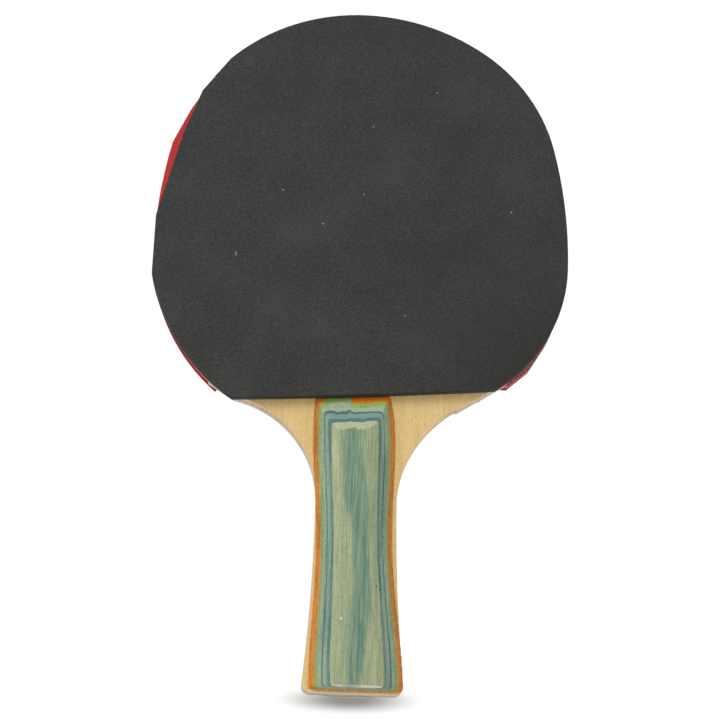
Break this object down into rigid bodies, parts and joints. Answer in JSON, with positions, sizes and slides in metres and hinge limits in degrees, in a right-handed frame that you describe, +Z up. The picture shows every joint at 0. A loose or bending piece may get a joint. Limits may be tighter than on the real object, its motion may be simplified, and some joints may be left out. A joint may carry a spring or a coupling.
{
  "type": "table tennis paddle",
  "caption": "Table tennis paddle: plywood blade, pimples-in rubber coverings, black and red, and flared handle scales of dyed veneers.",
  "frame": {"origin": "centre of the handle's end face, in the middle plane of the blade", "axes": "+Z up the paddle from the handle to the head, +X to the right seen from the black side, +Y from the black side to the red side"},
  "size_m": [0.152, 0.023, 0.2565],
  "materials": {
    "core_wood": "end grain and side grain bare, lightly sanded",
    "inner_wood": "bare, lightly sanded",
    "face_wood": "sanded, satin",
    "black_rubber": "matt, slightly dusty",
    "dark_sponge": "open foam",
    "red_rubber": "matt",
    "pink_sponge": "open foam",
    "orange_veneer": "dyed, sanded",
    "green_veneer": "dyed, sanded",
    "pale_teal_veneer": "dyed, sanded",
    "dark_teal_veneer": "dyed, sanded",
    "mid_teal_veneer": "dyed, sanded",
    "blue_veneer": "dyed, sanded",
    "sage_veneer": "dyed, sanded, satin"
  },
  "bodies": {
    "root": {"blade_core_ply": "core_wood", "blade_front_inner_ply": "inner_wood", "blade_rear_inner_ply": "inner_wood", "blade_front_face_ply": "face_wood", "blade_rear_face_ply": "face_wood", "front_top_sheet": "black_rubber", "front_pimple_layer": "black_rubber", "front_sponge": "dark_sponge", "rear_top_sheet": "red_rubber", "rear_pimple_layer": "red_rubber", "rear_sponge": "pink_sponge", "front_orange_veneer": "orange_veneer", "front_green_veneer": "green_veneer", "front_pale_teal_veneer": "pale_teal_veneer", "front_dark_teal_veneer": "dark_teal_veneer", "front_mid_teal_veneer": "mid_teal_veneer", "front_blue_veneer": "blue_veneer", "front_sage_veneer": "sage_veneer", "rear_orange_veneer": "orange_veneer", "rear_green_veneer": "green_veneer", "rear_pale_teal_veneer": "pale_teal_veneer", "rear_dark_teal_veneer": "dark_teal_veneer", "rear_mid_teal_veneer": "mid_teal_veneer", "rear_blue_veneer": "blue_veneer", "rear_sage_veneer": "sage_veneer"}
  },
  "joints": []
}
